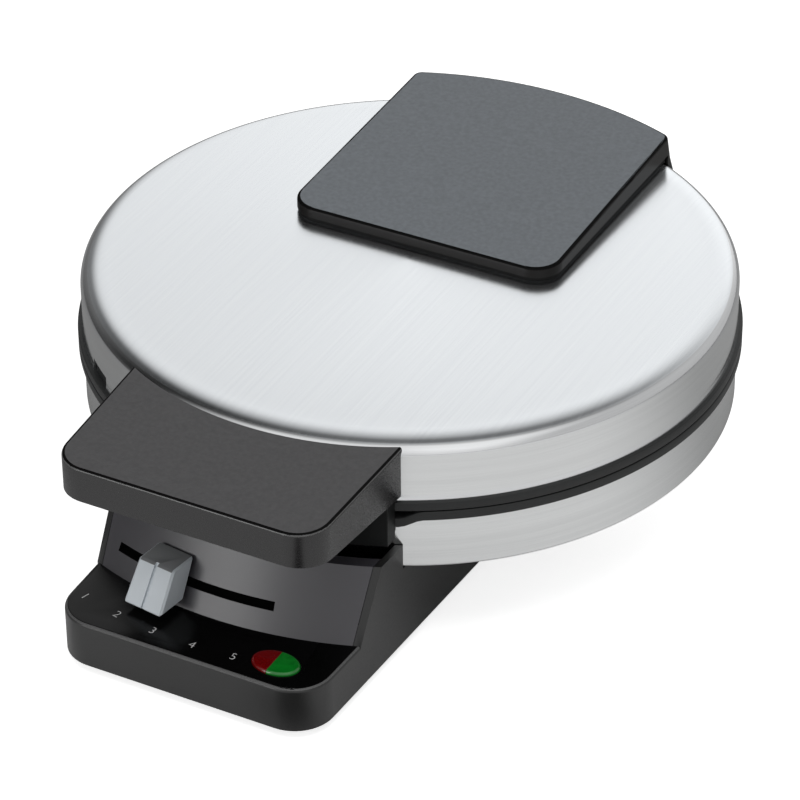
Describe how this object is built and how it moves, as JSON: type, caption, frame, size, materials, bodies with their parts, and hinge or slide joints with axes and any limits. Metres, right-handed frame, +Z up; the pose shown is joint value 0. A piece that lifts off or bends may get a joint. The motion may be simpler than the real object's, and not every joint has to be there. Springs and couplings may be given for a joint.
{
  "type": "waffle maker",
  "caption": "Round countertop waffle maker with a brushed steel hinged lid, quartered grid plates, front handle, browning slider and indicator lens.",
  "frame": {"origin": "on the worktop, under the middle of the overall length and width", "axes": "+Y towards the hinge at the rear, -Y towards the handle and the control, +X to the right seen from the front, +Z up"},
  "size_m": [0.1968, 0.2474, 0.0789],
  "materials": {
    "housing_plastic": "satin moulded",
    "fascia_plastic": "fine matte",
    "ring_plastic": "satin moulded",
    "handle_plastic": "fine matte",
    "skirt_plastic": "fine matte",
    "cover_plastic": "fine matte",
    "knob_plastic": "satin",
    "shell_steel": "brushed",
    "grid_aluminium": "dark non-stick coating",
    "element_steel": "oxidised",
    "reflector_aluminium": "bright",
    "bracket_steel": "zinc plated",
    "screw_steel": "zinc plated",
    "pin_steel": "smooth",
    "fuse_brass": "plain",
    "thermostat_ceramic": "plain",
    "terminal_plastic": "plain",
    "board_laminate": "laminate",
    "red_lamp": "clear",
    "green_lamp": "clear",
    "red_lens": "translucent",
    "green_lens": "translucent",
    "foot_rubber": "matte",
    "bush_rubber": "matte",
    "pad_rubber": "matte"
  },
  "bodies": {
    "base": {"base_housing": "housing_plastic", "control_fascia": "fascia_plastic", "bottom_cover": "housing_plastic", "feet": "foot_rubber", "bottom_screws": "screw_steel", "cord_cup": "housing_plastic", "cord_bush": "bush_rubber", "terminal_block": "terminal_plastic", "lower_shell": "shell_steel", "lower_ring": "ring_plastic", "lower_grid_plate": "grid_aluminium", "lower_heating_element": "element_steel", "lower_reflector": "reflector_aluminium", "plate_screws": "screw_steel", "thermostat": "thermostat_ceramic", "thermal_fuse": "fuse_brass", "indicator_board": "board_laminate", "red_lamp": "red_lamp", "green_lamp": "green_lamp", "red_lens": "red_lens", "green_lens": "green_lens", "hinge_pin": "pin_steel"},
    "lid": {"lid_shell": "shell_steel", "upper_ring": "ring_plastic", "upper_grid_plate": "grid_aluminium", "upper_heating_element": "element_steel", "upper_reflector": "reflector_aluminium", "lid_strap": "bracket_steel", "upper_plate_screws": "screw_steel", "handle": "handle_plastic", "handle_skirt": "skirt_plastic", "handle_screws": "screw_steel", "hinge_bracket": "bracket_steel", "hinge_screws": "screw_steel", "hinge_cover": "cover_plastic", "hinge_cover_pad": "pad_rubber", "hinge_cover_screws": "screw_steel"},
    "slider": {"slider_knob": "knob_plastic", "control_lever": "bracket_steel", "thermostat_shaft": "pin_steel"}
  },
  "joints": [
    {"name": "lid_hinge", "type": "hinge", "parent": "base", "child": "lid", "pos_m": [0, 0.1171, 0.04935], "axis": [-1, 0, 0], "range_deg": [0, 100]},
    {"name": "browning_slide", "type": "hinge", "parent": "base", "child": "slider", "pos_m": [0, 0.0137, 0], "axis": [0, 0, 1], "range_deg": [-8.4, 14.1]}
  ]
}
